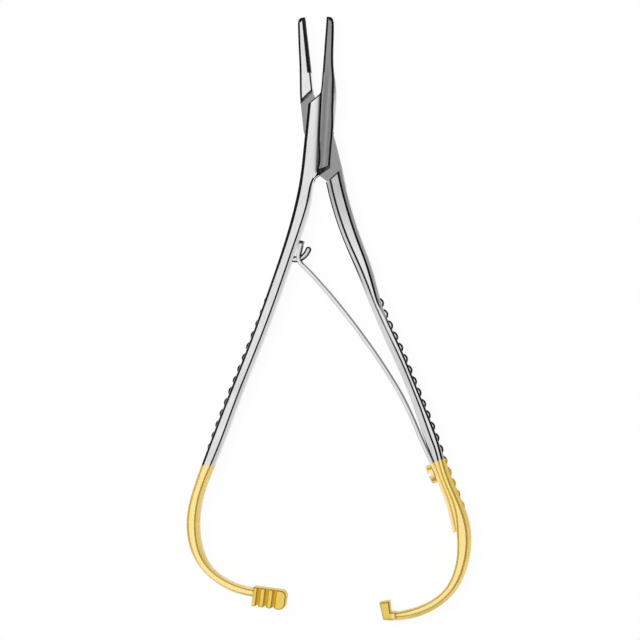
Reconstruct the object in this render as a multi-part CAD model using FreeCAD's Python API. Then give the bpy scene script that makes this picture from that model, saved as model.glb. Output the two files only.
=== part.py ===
"""Surgical needle holder with a box lock, ridged handles, a leaf spring and a ratchet at the handle ends.

Millimetres, +Z up. It lies flat and open: the pivot's axis is the Z axis, the jaws point along +Y and
the handles along -Y, and Z = 0 is the surface that it rests on. Each arm is drawn in its own frame, as on
the closed instrument with its handle on the +X side, and then turned open about the pivot. The box arm
is mirrored first, because its handle is the left one.
"""
import FreeCAD
import Part
import math
import os

from FreeCAD import Vector

# How far the arms stand open, and how far the open instrument leans to the right
OPENING_ANGLE = 10.0
LEAN_ANGLE = 1.17

# Thickness of each stretch, all about the same mid-plane
BOX_THICKNESS = 6.4
SHOULDER_THICKNESS = 6.2
HANDLE_THICKNESS = 5.0
JAW_ROOT_THICKNESS = 4.8
JAW_TIP_THICKNESS = 2.7
TONGUE_THICKNESS = 2.4

# Lock: pin, running clearances and the facets on the box
PIN_RADIUS = 1.6
PIN_CLEARANCE = 0.04
TONGUE_CLEARANCE = 0.06
LOCK_WALL_CLEARANCE = 0.25
BOX_STEP = 0.45
BOX_FACET_SLOPE = 0.21
FLAT_GRIND = 0.03
SLOT_PAST_JAW = 8.0
SLOT_PAST_HANDLE = 5.0
SLOT_PAST_RELIEF = 3.0
SLOT_SPREAD = (6.0, 12.0)

# How steeply the edge bevels and the shallow side facets fall away
BEVEL_SLOPE = 0.75
FACET_SLOPE = 0.36

# Bevels of the box arm's handle, as seen from the front, and the stretches over which they change
BOX_INNER_FACET = 0.85
BOX_INNER_BEVEL = 0.45
BOX_OUTER_BEVEL = 0.68
SPLIT_BEVEL = 0.55
LOCK_BEVEL = 0.9
NO_FACET = 0.06
BOX_FACET_END = (-24.0, -9.0)
LOCK_BEVEL_END = (-50.0, -15.0)
BLOCK_NECK = (-126.0, -118.0)
BLOCK_NECK_FACET = 0.3

# Bevels of the tongue arm's handle
TONGUE_INNER_FACET = 1.1
TONGUE_INNER_FACET_WIDE = 1.7
TONGUE_LEAST_FACE = 0.5
TONGUE_OUTER_FACET = 0.75
TONGUE_END_FACET = 0.9
TONGUE_BEVEL = 0.62
TONGUE_BEVEL_LOW = 0.55
TONGUE_FACET_SPREAD = (-62.0, -25.0)
TONGUE_FACET_END = (-116.0, -102.0)
TONGUE_STRIP_END = (-50.5, -47.5)
TONGUE_BEVEL_END = (-65.0, -45.0)
TONGUE_END_STRIP = (-100.0, -85.0)

# How far each thick stretch beside the lock is sloped off along its end
BOX_TOP_SLOPE = 0.35
TONGUE_TOP_SLOPE = 0.9
TONGUE_BOTTOM_SLOPE = 0.35
SLOPE_REACH = 1.9

# Gripping plates in the jaws, and the gap that is left between them when the tips meet
BOX_INSERT_THICKNESS = 0.65
TONGUE_INSERT_THICKNESS = 0.95
INSERT_LENGTH = 15.7
CLOSED_JAW_GAP = 0.1
JAW_LENGTH = 34.0
JAW_TIP_ROUND = 1.3
JAW_TIP_BEVEL = 0.9
JAW_TIP_WAIST = 0.65
JAW_TIP_SLOPE = 0.35
JAW_INNER_BEVEL = 0.4
JAW_OUTER_BEVEL = 0.58
JAW_SIDE_FACET = 0.65
JAW_SIDE_FACET_START = (2.0, 10.0)
JAW_ROOT = 12.5
JAW_ROOT_END = 16.0
TONGUE_JAW_SLOPE = 0.05

# Grip ridges along the outer side of each handle
RIDGE_PITCH = 3.33
RIDGE_RADIUS = 1.65
RIDGE_HEIGHT_TONGUE_ARM = 0.55
RIDGE_HEIGHT_BOX_ARM = 0.45
RIDGE_WAIST = 1.35
RIDGE_SHOULDER = 0.5
RIDGE_FIRST_SHARE_TONGUE_ARM = 1.0
RIDGE_FIRST_SHARE_BOX_ARM = 0.3
RIDGE_LAST_SHARE = 0.3
RIDGE_FADE_COUNT = 4
RIDGE_START_TONGUE_ARM = 48.3
RIDGE_START_BOX_ARM = 46.8
RIDGE_COUNT_TONGUE_ARM = 19
RIDGE_COUNT_BOX_ARM = 14
RIDGE_STEPS = 50

# Ratchet block and catch hook at the handle ends
BLOCK_LENGTH = 9.4
BLOCK_HEIGHT = 5.4
BLOCK_TURN = 3.5
BLOCK_CENTRE = (5.05, -129.5)
BLOCK_THICKNESS = 6.4
BLOCK_END_ROUND = 1.6
BLOCK_CHAMFER = 0.35
TOOTH_COUNT = 3
TOOTH_PITCH = 2.25
TOOTH_FIRST = 1.45
TOOTH_DEPTH = 0.6
TOOTH_WIDTH = 1.35
HOOK_WIDTH = 2.8
HOOK_RISE = 3.1
HOOK_LEAN = 1.4
HOOK_HEEL = 0.8
HOOK_TIP_SLOPE = 0.2
HOOK_THICKNESS = 6.4
HOOK_CHAMFER = 0.4

# Opening spring, its screw and its guide horn
SPRING_THICKNESS = 1.05
SPRING_WIDTH = 4.4
SPRING_TAIL_END = 113.5
SPRING_SEAT_END = 94.0
SPRING_SEAT_GAP = 0.02
SPRING_SLOT_WIDTH = 2.4
SPRING_SLOT_LENGTH = 6.0
SPRING_TIP_MARGIN = 1.2
SPRING_SEAT_DOWNS = (SPRING_TAIL_END, 106.0, 100.0, SPRING_SEAT_END)
SPRING_STEPS = 60
SCREW_DOWN = 96.3
SCREW_RADIUS = 1.5
SCREW_HEAD_RADIUS = 2.7
SCREW_HEAD_HEIGHT = 1.6
SCREW_HEAD_CHAMFER = 0.3
SCREW_HOLE_CLEARANCE = 0.1
SCREW_HOLE_REACH = 3.0
SCREW_DEPTH = 2.2
SCREW_SLOT_WIDTH = 0.8
SCREW_SLOT_DEPTH = 0.8
HORN_RADIUS = 0.88
HORN_DEPTH = 2.8

# Edges of the box arm's handle, from the top of the box to the ratchet block: outward, along
BOX_HANDLE_OUTER = [
    (3.20, 13.5), (3.54, 5.0), (3.72, -0.5), (4.03, -8.9), (4.30, -12.5), (5.00, -17.8), (7.30, -29.1),
    (10.30, -40.6), (15.20, -57.7), (20.80, -75.0), (25.70, -90.7), (28.10, -99.0),
    (29.70, -108.0), (28.90, -115.0), (25.20, -122.1), (18.30, -127.2), (7.50, -129.3),
]
BOX_HANDLE_INNER = [
    (-0.45, 13.1), (-0.61, 5.0), (-0.73, -0.5), (-0.98, -8.6), (0.30, -12.1), (0.85, -17.4), (3.30, -28.9),
    (6.40, -40.3), (11.45, -57.4), (17.10, -74.7), (21.90, -90.4), (24.80, -98.8),
    (26.30, -107.5), (25.60, -114.7), (22.20, -121.9), (15.80, -125.9), (7.00, -127.2),
]

# Edges of the tongue arm's handle, from inside the lock to the catch hook
TONGUE_HANDLE_OUTER = [
    (5.55, -6.5), (5.90, -12.4), (6.65, -18.1), (8.95, -29.6), (11.10, -38.3), (12.70, -48.0),
    (16.45, -60.0), (20.25, -73.0), (24.35, -87.6), (27.20, -99.3), (30.50, -112.0),
    (29.20, -121.8), (24.80, -129.7), (16.50, -135.0), (4.60, -136.0),
]
TONGUE_HANDLE_INNER = [
    (0.50, -6.5), (0.85, -12.1), (1.50, -17.6), (3.95, -29.1), (6.60, -37.8), (9.05, -46.6),
    (12.90, -59.2), (17.10, -72.3), (20.70, -87.5), (24.05, -99.3), (26.60, -112.0),
    (25.70, -121.6), (21.70, -129.0), (14.10, -133.1), (4.60, -134.0),
]

# Outer side of each jaw from its root to its tip: how far out from the closed middle, and how far along
BOX_JAW_OUTER = [
    (4.05, -12.5), (4.02, -3.0), (4.20, 4.0), (4.34, 9.0), (4.15, 13.5), (3.50, 17.0), (3.00, 20.0),
    (2.55, 26.5), (2.05, JAW_LENGTH),
]
TONGUE_JAW_OUTER = [
    (3.95, 7.0), (3.85, 10.0), (3.62, 14.0), (3.12, 19.5), (2.80, 25.0), (2.45, 30.5), (2.15, JAW_LENGTH),
]

# How far the near side of the box's sloping facet reaches under the bar beside it, and where it stops
FACET_OVERLAP = 1.0
FACET_OVERLAP_END = (11.5, 13.0)

# Lines in plan that end the thick stretches beside the lock
BOX_TOP_LINE = ((0.39, 12.04), (3.15, 9.33))
BOX_BOTTOM_LINE = ((-4.05, -8.15), (0.19, -11.41))
TONGUE_TOP_LINE = ((-0.18, 12.69), (-3.85, 9.99))
TONGUE_BOTTOM_LINE = ((5.75, -9.35), (1.63, -12.29))

# Upper edges of the slopes at the bottom of the box: below the right jaw's bar, and below the left bar
JAW_BAR_SLOPE = ((-5.03, -5.65), (1.96, -11.26))
LEFT_BAR_SLOPE = ((-0.61, -9.92), (0.25, -11.33))

# Sides of the tongue in plan
TONGUE_JAW_SIDE = ((4.19, 0.95), (-0.20, 12.70))
TONGUE_HANDLE_SIDE = ((-3.86, 2.10), (-0.73, -10.62))
TONGUE_PLAN = [
    (-3.3, 12.4), (-3.85, 10.4), TONGUE_HANDLE_SIDE[0], TONGUE_HANDLE_SIDE[1], (1.32, -12.53), (2.2, -14.5),
    (5.2, -11.5), (5.7, -9.4), (4.9, -3.5), TONGUE_JAW_SIDE[0], TONGUE_JAW_SIDE[1], (-0.6, 14.5),
]

# Plan of the bar's inner corner beside the split line, and the upper edge of the bevel along it
LOCK_CORNER = [(-1.0, -7.6), (-1.04, -10.48), (0.19, -11.41), (0.9, -11.0), (0.9, -7.6)]
LOCK_CORNER_LINE = ((-0.39, -7.6), (-0.43, -11.41))

# Plan of what is cut from the box below the right jaw's bar
BOX_AWAY = [
    (-9.0, -4.35), BOX_BOTTOM_LINE[0], BOX_BOTTOM_LINE[1], BOX_HANDLE_INNER[4], (0.34, -12.6), (-9.0, -12.6),
]

# Free run of the spring from its seat to its tip, and the guide horn, on the closed instrument's frames
SPRING_FREE_RUN = [
    (19.72, -87.2), (17.96, -81.4), (15.90, -75.5), (13.32, -69.6), (7.00, -57.65),
    (-0.42, -45.6), (-4.69, -39.5), (-7.40, -35.9), (-8.72, -34.3), (-9.07, -32.5),
    (-8.40, -30.3), (-7.62, -28.1),
]
HORN_RUN = ((3.46, -34.3), (1.84, -33.24), (0.76, -31.4))

MID_HEIGHT = BOX_THICKNESS / 2
UP = Vector(0, 0, 1)
PAST = 1.0
CUT_REACH = 20.0
PLACE_TOLERANCE = 0.001
GROUND_REACH = 150.0
HANDLE_SECTIONS = 60
JAW_SECTIONS = 24


def spot(point, height=0.0):
    """The plan point (outward, along) as a vector at a height"""
    return Vector(point[0], point[1], height)


def ramp(value, start, end, first, last):
    """first up to start, last from end on, and a smooth change between them"""
    share = (value - start) / (end - start)
    share = min(1.0, max(0.0, share))
    share = share * share * (3 - 2 * share)
    return first + (last - first) * share


def prism(points, bottom, top):
    """Straight-sided solid over a polygon in plan"""
    corners = [spot(p, bottom) for p in points]
    outline = Part.makePolygon(corners + corners[:1])
    return Part.Face(outline).extrude(Vector(0, 0, top - bottom))


def edge_curves(outer, inner):
    """Smooth curves through the two edges, running side by side on one parameter"""
    middle = [(spot(a) + spot(b)) / 2 for a, b in zip(outer, inner)]
    along = [0.0]
    for before, after in zip(middle, middle[1:]):
        along.append(along[-1] + (after - before).Length)
    curves = []
    for points in (outer, inner):
        curve = Part.BSplineCurve()
        curve.interpolate(Points=[spot(p) for p in points], Parameters=along)
        curves.append(curve)
    return curves[0], curves[1], along[-1]


def place_down(curve, length, down):
    """Parameter at which a handle's edge has come a distance down from the pivot"""
    low = 0.0
    high = length
    while high - low > PLACE_TOLERANCE:
        middle = (low + high) / 2
        if curve.value(middle).y > -down:
            low = middle
        else:
            high = middle
    return low


def arm_section(inner, outer, thickness, inner_facet, outer_facet, inner_bevel, outer_bevel, fall):
    """Twelve-sided section across an arm: flat faces, bevels, shallow side facets and upright sides"""
    across = outer - inner
    width = across.Length
    across.normalize()
    half = thickness / 2
    inner_edge = half - inner_bevel * BEVEL_SLOPE
    outer_edge = half - fall - outer_bevel * BEVEL_SLOPE
    upper = [
        (0, inner_edge - inner_facet * FACET_SLOPE),
        (inner_facet, inner_edge),
        (inner_facet + inner_bevel, half),
        (width - outer_facet - outer_bevel, half - fall),
        (width - outer_facet, outer_edge),
        (width, outer_edge - outer_facet * FACET_SLOPE),
    ]
    ring = upper + [(u, -v) for u, v in reversed(upper)]
    corners = [inner + across * u + UP * (v + MID_HEIGHT) for u, v in ring]
    return Part.makePolygon(corners + corners[:1])


def handle(outer_points, inner_points, thickness, facets):
    """One handle as a smooth loft; facets gives a section's four side sizes by its place and width"""
    outer, inner, length = edge_curves(outer_points, inner_points)
    sections = []
    for index in range(HANDLE_SECTIONS + 1):
        at = length * index / HANDLE_SECTIONS
        start = inner.value(at)
        end = outer.value(at)
        sizes = facets(start.y, (end - start).Length)
        sections.append(arm_section(start, end, thickness(start.y), *sizes, 0.0))
    return Part.makeLoft(sections, True, False)


def beyond(line, side):
    """Upright block on one side of a plan line, to cut away what lies there"""
    start = spot(line[0])
    end = spot(line[1])
    along = (end - start).normalize()
    out = Vector(-along.y, along.x, 0) * side
    corners = [
        start - along * CUT_REACH,
        end + along * CUT_REACH,
        end + along * CUT_REACH + out * CUT_REACH,
        start - along * CUT_REACH + out * CUT_REACH,
    ]
    return prism([(c.x, c.y) for c in corners], -PAST, BOX_THICKNESS + PAST)


def slope_off(start, end, side, thickness):
    """Wedges that slope both faces off to one side of a plan line"""
    run = end - start
    out = Vector(-run.y, run.x, 0).normalize() * side
    near = start - out * SLOPE_REACH
    far = start + out * SLOPE_REACH * 2
    wedges = []
    for way in (1, -1):
        high = MID_HEIGHT + way * (thickness / 2 + SLOPE_REACH * BEVEL_SLOPE)
        low = MID_HEIGHT + way * (thickness / 2 - SLOPE_REACH * BEVEL_SLOPE * 2)
        corners = [near + UP * high, far + UP * low, far + UP * high]
        wedges.append(Part.Face(Part.makePolygon(corners + corners[:1])).extrude(run))
    return Part.makeCompound(wedges)


def bevelled_disc(centre, radius, waist, shoulder, facing, sweep):
    """Upright disc with cone-shaped shoulders, or the share of it that a sweep about one direction leaves"""
    neck = radius - shoulder
    half = waist + shoulder * BEVEL_SLOPE
    corners = [
        Vector(0, 0, -half),
        Vector(neck, 0, -half),
        Vector(radius, 0, -waist),
        Vector(radius, 0, waist),
        Vector(neck, 0, half),
        Vector(0, 0, half),
    ]
    solid = Part.Face(Part.makePolygon(corners + corners[:1])).revolve(Vector(0, 0, 0), UP, sweep)
    solid.rotate(Vector(0, 0, 0), UP, math.degrees(math.atan2(facing.y, facing.x)) - sweep / 2)
    solid.translate(spot(centre, MID_HEIGHT))
    return solid


def sloped_end(line, side, width, thickness):
    """The wedges for an end along a plan line, sloped off over a width"""
    start, end = shifted(line, -width * side)
    reach = (end - start).normalize() * CUT_REACH
    return slope_off(start - reach, end + reach, side, thickness)


def shifted(line, distance):
    """A plan line moved sideways, to the left of its direction"""
    start = spot(line[0])
    end = spot(line[1])
    along = (end - start).normalize()
    move = Vector(-along.y, along.x, 0) * distance
    return (start + move, end + move)


def turned(shape, angle):
    """The shape turned about the pivot"""
    copy = shape.copy()
    copy.rotate(Vector(0, 0, 0), UP, angle)
    return copy


def place_on_box_arm(shape):
    """From the box arm's own frame to the open instrument"""
    mirrored = shape.mirror(Vector(0, 0, 0), Vector(1, 0, 0))
    return turned(mirrored, LEAN_ANGLE - OPENING_ANGLE / 2)


def place_on_tongue_arm(shape):
    """From the tongue arm's own frame to the open instrument"""
    return turned(shape, LEAN_ANGLE + OPENING_ANGLE / 2)


def jaw(outer_points, overlap, slope, root_facet):
    """A jaw from its root to its rounded tip, its gripping side along the closed instrument's middle"""
    insert_start = JAW_LENGTH - INSERT_LENGTH
    side = Part.BSplineCurve()
    side.interpolate(Points=[spot((-far, along)) for far, along in outer_points])
    sections = []
    for index in range(JAW_SECTIONS + 1):
        share = index / JAW_SECTIONS
        outer = side.value(side.FirstParameter + (side.LastParameter - side.FirstParameter) * share)
        near = ramp(outer.y, *FACET_OVERLAP_END, overlap, -CLOSED_JAW_GAP / 2)
        inner = Vector(near, outer.y, 0)
        facet = ramp(outer.y, *JAW_SIDE_FACET_START, NO_FACET, root_facet)
        facet = ramp(outer.y, JAW_ROOT, insert_start, facet, NO_FACET)
        sizes = (NO_FACET, facet, JAW_INNER_BEVEL, JAW_OUTER_BEVEL)
        fall = slope * ((outer - inner).Length - sum(sizes))
        sections.append(arm_section(inner, outer, jaw_thickness(outer.y), *sizes, fall))
    solid = Part.makeLoft(sections, True, True)
    across = -outer_points[-1][0]
    round_at = Vector(across + JAW_TIP_ROUND, JAW_LENGTH - JAW_TIP_ROUND, -PAST)
    corner = Part.makeBox(
        3 * JAW_TIP_ROUND,
        2 * JAW_TIP_ROUND,
        BOX_THICKNESS + 2 * PAST,
        round_at - Vector(3 * JAW_TIP_ROUND, 0, 0),
    )
    rounding = bevelled_disc(round_at, JAW_TIP_ROUND, JAW_TIP_WAIST, JAW_TIP_BEVEL, Vector(1, 0, 0), 360)
    solid = solid.cut(corner.cut(rounding))
    tip = (spot((across, JAW_LENGTH - JAW_TIP_SLOPE)), spot((0, JAW_LENGTH - JAW_TIP_SLOPE)))
    return solid.cut(slope_off(*tip, 1, JAW_TIP_THICKNESS))


def jaw_thickness(along):
    """Thickness of either jaw at a distance from the pivot"""
    if along > JAW_ROOT_END:
        return ramp(along, JAW_ROOT_END, JAW_LENGTH, JAW_ROOT_THICKNESS, JAW_TIP_THICKNESS)
    return ramp(along, JAW_ROOT, JAW_ROOT_END, BOX_THICKNESS - 2 * BOX_STEP, JAW_ROOT_THICKNESS)


def insert_slab(thickness):
    """Where a gripping plate lies: a thin slab along the middle, from its start to past the tip"""
    return Part.makeBox(
        thickness + CLOSED_JAW_GAP / 2 + PAST,
        INSERT_LENGTH + PAST,
        BOX_THICKNESS + 2 * PAST,
        Vector(-thickness - CLOSED_JAW_GAP / 2, JAW_LENGTH - INSERT_LENGTH, -PAST),
    )


def grip_ridges(outer_points, inner_points, start_down, count, height, first_share):
    """Row of rounded ridges along a handle's outer side"""
    outer, inner, length = edge_curves(outer_points, inner_points)
    at = place_down(outer, length, start_down)
    ridges = []
    for index in range(count):
        edge = outer.value(at)
        across = (edge - inner.value(at)).normalize()
        grown = ramp(index, 0, RIDGE_FADE_COUNT, first_share, 1.0)
        rise = height * grown * ramp(index, count - RIDGE_FADE_COUNT, count, 1.0, RIDGE_LAST_SHARE)
        centre = edge + across * (rise - RIDGE_RADIUS)
        ridges.append(bevelled_disc(centre, RIDGE_RADIUS, RIDGE_WAIST, RIDGE_SHOULDER, across, 180))
        while (outer.value(at) - edge).Length < RIDGE_PITCH:
            at += RIDGE_PITCH / RIDGE_STEPS
    return ridges


def box_facets(along, width):
    """Side sizes of the box arm's handle: inner facet, outer facet, inner bevel, outer bevel"""
    inner = ramp(along, *BOX_FACET_END, BOX_INNER_FACET, NO_FACET)
    inner = min(width / 2, ramp(along, *BLOCK_NECK, BLOCK_NECK_FACET, inner))
    inner_bevel = ramp(along, *BOX_FACET_END, BOX_INNER_BEVEL, SPLIT_BEVEL)
    return inner, NO_FACET, inner_bevel, ramp(along, *LOCK_BEVEL_END, BOX_OUTER_BEVEL, LOCK_BEVEL)


def tongue_facets(along, width):
    """Side sizes of the tongue arm's handle, where some flat face is always left between the bevels"""
    bevel = ramp(along, *TONGUE_BEVEL_END, TONGUE_BEVEL_LOW, TONGUE_BEVEL)
    outer = ramp(along, *TONGUE_STRIP_END, NO_FACET, TONGUE_OUTER_FACET)
    outer = ramp(along, *TONGUE_END_STRIP, TONGUE_END_FACET, outer)
    inner = ramp(along, *TONGUE_FACET_SPREAD, TONGUE_INNER_FACET_WIDE, TONGUE_INNER_FACET)
    inner = min(inner, width - 2 * bevel - outer - TONGUE_LEAST_FACE)
    return ramp(along, *TONGUE_FACET_END, NO_FACET, inner), outer, bevel, bevel


def box_arm_thickness(along):
    """The box arm is thickest in the box and thins into its handle"""
    return ramp(along, -34.0, -10.0, HANDLE_THICKNESS, BOX_THICKNESS + 2 * FLAT_GRIND)


def tongue_arm_thickness(along):
    """The tongue arm's handle has the same shoulder thickness as the box"""
    return ramp(along, -34.0, -12.0, HANDLE_THICKNESS, SHOULDER_THICKNESS)


def lock_slot():
    """Slot through the box, in the box arm's frame, that the tongue passes through and turns in"""
    jaw_side = shifted(((-TONGUE_JAW_SIDE[0][0], TONGUE_JAW_SIDE[0][1]),
                        (-TONGUE_JAW_SIDE[1][0], TONGUE_JAW_SIDE[1][1])), LOCK_WALL_CLEARANCE)
    top = (-TONGUE_HANDLE_SIDE[0][0], TONGUE_HANDLE_SIDE[0][1])
    bottom = (-TONGUE_HANDLE_SIDE[1][0], TONGUE_HANDLE_SIDE[1][1])
    relief = TONGUE_HANDLE_SIDE[0][1] * math.sin(math.radians(OPENING_ANGLE)) + LOCK_WALL_CLEARANCE
    upper = spot((top[0] + relief, top[1]))
    lower = spot((bottom[0] + LOCK_WALL_CLEARANCE, bottom[1]))
    run = (upper - lower).normalize()
    rise = (jaw_side[1] - jaw_side[0]).normalize()
    corners = [
        jaw_side[1] + rise * SLOT_PAST_JAW,
        jaw_side[0] - rise * SLOT_PAST_JAW,
        jaw_side[0] - rise * SLOT_PAST_JAW - spot(SLOT_SPREAD),
        lower - run * SLOT_PAST_HANDLE,
        upper + run * SLOT_PAST_RELIEF,
        upper + run * SLOT_PAST_RELIEF + spot(SLOT_SPREAD),
    ]
    half = TONGUE_THICKNESS / 2 + TONGUE_CLEARANCE
    return prism([(c.x, c.y) for c in corners], MID_HEIGHT - half, MID_HEIGHT + half)


def box_jaw():
    """The right jaw, with the sloping bar of the box below it"""
    solid = jaw(BOX_JAW_OUTER, FACET_OVERLAP, BOX_FACET_SLOPE, JAW_SIDE_FACET)
    start, end = JAW_BAR_SLOPE
    return solid.cut(slope_off(spot(start), spot(end), -1, BOX_THICKNESS - 4 * BOX_STEP))


def tongue_jaw():
    """The left jaw, down to its shoulder"""
    solid = jaw(TONGUE_JAW_OUTER, -CLOSED_JAW_GAP / 2, TONGUE_JAW_SLOPE, NO_FACET)
    solid = solid.cut(beyond(TONGUE_TOP_LINE, 1))
    return solid.cut(sloped_end(TONGUE_TOP_LINE, 1, TONGUE_TOP_SLOPE, BOX_THICKNESS - 2 * BOX_STEP))


def box_arm_envelope():
    """The box arm's forging before its slot is cut and before ridges are added"""
    bar = handle(BOX_HANDLE_OUTER, BOX_HANDLE_INNER, box_arm_thickness, box_facets)
    bar = bar.cut(beyond(BOX_TOP_LINE, 1))
    bar = bar.cut(sloped_end(BOX_TOP_LINE, 1, BOX_TOP_SLOPE, BOX_THICKNESS))
    corner = prism(LOCK_CORNER, -PAST, BOX_THICKNESS + PAST)
    start, end = LOCK_CORNER_LINE
    corner = corner.cut(slope_off(spot(start), spot(end), -1, BOX_THICKNESS))
    body = bar.fuse(box_jaw()).fuse(corner)
    body = body.cut(prism(BOX_AWAY, -PAST, BOX_THICKNESS + PAST))
    start, end = LEFT_BAR_SLOPE
    body = body.cut(slope_off(spot(start), spot(end), -1, BOX_THICKNESS))
    lowest = Vector(-GROUND_REACH, -GROUND_REACH, 0)
    return body.common(Part.makeBox(2 * GROUND_REACH, 2 * GROUND_REACH, BOX_THICKNESS, lowest))


def ratchet_block():
    """Block of four lobes at the end of the box arm's handle, which the catch hook grips"""
    outline = Part.makeBox(
        BLOCK_LENGTH,
        BLOCK_HEIGHT,
        BLOCK_THICKNESS,
        Vector(-BLOCK_LENGTH / 2, -BLOCK_HEIGHT / 2, 0),
    )
    end_edges = [
        e for e in outline.Edges
        if abs(e.tangentAt(e.FirstParameter).z) > 0.9 and e.CenterOfMass.x < 0
    ]
    block = outline.makeFillet(BLOCK_END_ROUND, end_edges)
    rim = [e for e in block.Edges if abs(e.CenterOfMass.z - BLOCK_THICKNESS / 2) > BLOCK_THICKNESS * 0.4]
    block = block.makeChamfer(BLOCK_CHAMFER, rim)
    grooves = []
    first = -BLOCK_LENGTH / 2 + TOOTH_PITCH * TOOTH_FIRST
    for index in range(TOOTH_COUNT):
        middle = first + index * TOOTH_PITCH
        for height, tip in ((0.0, TOOTH_DEPTH), (BLOCK_THICKNESS, BLOCK_THICKNESS - TOOTH_DEPTH)):
            notch = Part.makePolygon([
                Vector(middle - TOOTH_WIDTH / 2, -BLOCK_HEIGHT, height),
                Vector(middle + TOOTH_WIDTH / 2, -BLOCK_HEIGHT, height),
                Vector(middle, -BLOCK_HEIGHT, tip),
                Vector(middle - TOOTH_WIDTH / 2, -BLOCK_HEIGHT, height),
            ])
            grooves.append(Part.Face(notch).extrude(Vector(0, 2 * BLOCK_HEIGHT, 0)))
        tooth = prism(
            [
                (middle - TOOTH_WIDTH, -BLOCK_HEIGHT / 2 - TOOTH_DEPTH),
                (middle + TOOTH_WIDTH, -BLOCK_HEIGHT / 2 - TOOTH_DEPTH),
                (middle, -BLOCK_HEIGHT / 2 + TOOTH_DEPTH),
            ],
            -PAST,
            BLOCK_THICKNESS + PAST,
        )
        grooves.append(tooth)
    block = block.cut(Part.makeCompound(grooves))
    block.rotate(Vector(0, 0, 0), UP, BLOCK_TURN)
    block.translate(spot(BLOCK_CENTRE, MID_HEIGHT - BLOCK_THICKNESS / 2))
    return block


def catch_hook():
    """Hook at the end of the tongue arm's handle, standing towards the jaws"""
    end = TONGUE_HANDLE_INNER[-1]
    foot = TONGUE_HANDLE_OUTER[-1]
    points = [
        (end[0] - HOOK_LEAN, end[1] + HOOK_RISE),
        (end[0] + HOOK_WIDTH - HOOK_LEAN, end[1] + HOOK_RISE + HOOK_TIP_SLOPE),
        (end[0] + HOOK_WIDTH - HOOK_LEAN, end[1] + HOOK_TIP_SLOPE),
        (end[0] + HOOK_WIDTH, end[1]),
        (foot[0] + HOOK_WIDTH, foot[1] + HOOK_TIP_SLOPE),
        (foot[0] - HOOK_HEEL, foot[1] + HOOK_TIP_SLOPE),
    ]
    low = MID_HEIGHT - HOOK_THICKNESS / 2
    solid = prism(points, low, low + HOOK_THICKNESS)
    rim = [e for e in solid.Edges if abs(e.CenterOfMass.z - MID_HEIGHT) > HOOK_THICKNESS * 0.4]
    return solid.makeChamfer(HOOK_CHAMFER, rim)


def horn_wire():
    """Middle line of the guide horn: straight out of the handle, then round towards the jaws"""
    points = [spot(p, MID_HEIGHT) for p in HORN_RUN]
    root = points[0] + Vector(HORN_DEPTH, 0, 0)
    straight = Part.LineSegment(root, points[0])
    bend = Part.Arc(points[0], points[1], points[2])
    return Part.Wire([straight.toShape(), bend.toShape()])


def guide_horn():
    """The horn: a bent round pin with a rounded tip"""
    path = horn_wire()
    start = path.Edges[0].Vertexes[0].Point
    ring = Part.Wire(Part.makeCircle(HORN_RADIUS, start, Vector(1, 0, 0)))
    pin = path.makePipeShell([ring], True, False)
    tip = Part.makeSphere(HORN_RADIUS, spot(HORN_RUN[-1], MID_HEIGHT))
    return pin.fuse(tip).removeSplitter()


def spring_curves():
    """Middle line of the spring in the tongue arm's frame, as one smooth curve from tail to tip"""
    outer, inner, length = edge_curves(TONGUE_HANDLE_OUTER, TONGUE_HANDLE_INNER)
    points = []
    for down in SPRING_SEAT_DOWNS:
        at = place_down(inner, length, down)
        edge = inner.value(at)
        across = (outer.value(at) - edge).normalize()
        points.append(edge - across * (SPRING_THICKNESS / 2 + SPRING_SEAT_GAP))
    points.extend(spot(p) for p in SPRING_FREE_RUN)
    middle = Part.BSplineCurve()
    middle.interpolate(Points=points)
    return middle


def offset_points(curve, distance, count):
    """Points beside a curve, all at one distance to its left"""
    first = curve.FirstParameter
    last = curve.LastParameter
    points = []
    for index in range(count + 1):
        at = first + (last - first) * index / count
        tangent = curve.tangent(at)[0]
        points.append(curve.value(at) + Vector(-tangent.y, tangent.x, 0) * distance)
    return points


def screw_frame():
    """Where the screw's axis meets the spring's inner face, and the axis, pointing into the handle"""
    outer, inner, length = edge_curves(TONGUE_HANDLE_OUTER, TONGUE_HANDLE_INNER)
    at = place_down(inner, length, SCREW_DOWN)
    tangent = inner.tangent(at)[0]
    into = Vector(-tangent.y, tangent.x, 0)
    if into.x < 0:
        into = into * -1
    seat = inner.value(at) - into * SPRING_SEAT_GAP
    seat.z = MID_HEIGHT
    return seat, into


def screw_hole(clearance, depth):
    """Cylinder along the screw's axis, from before the spring to a depth in the handle"""
    seat, into = screw_frame()
    start = seat - into * SCREW_HOLE_REACH
    return Part.makeCylinder(SCREW_RADIUS + clearance, SCREW_HOLE_REACH + depth, start, into)


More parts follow.
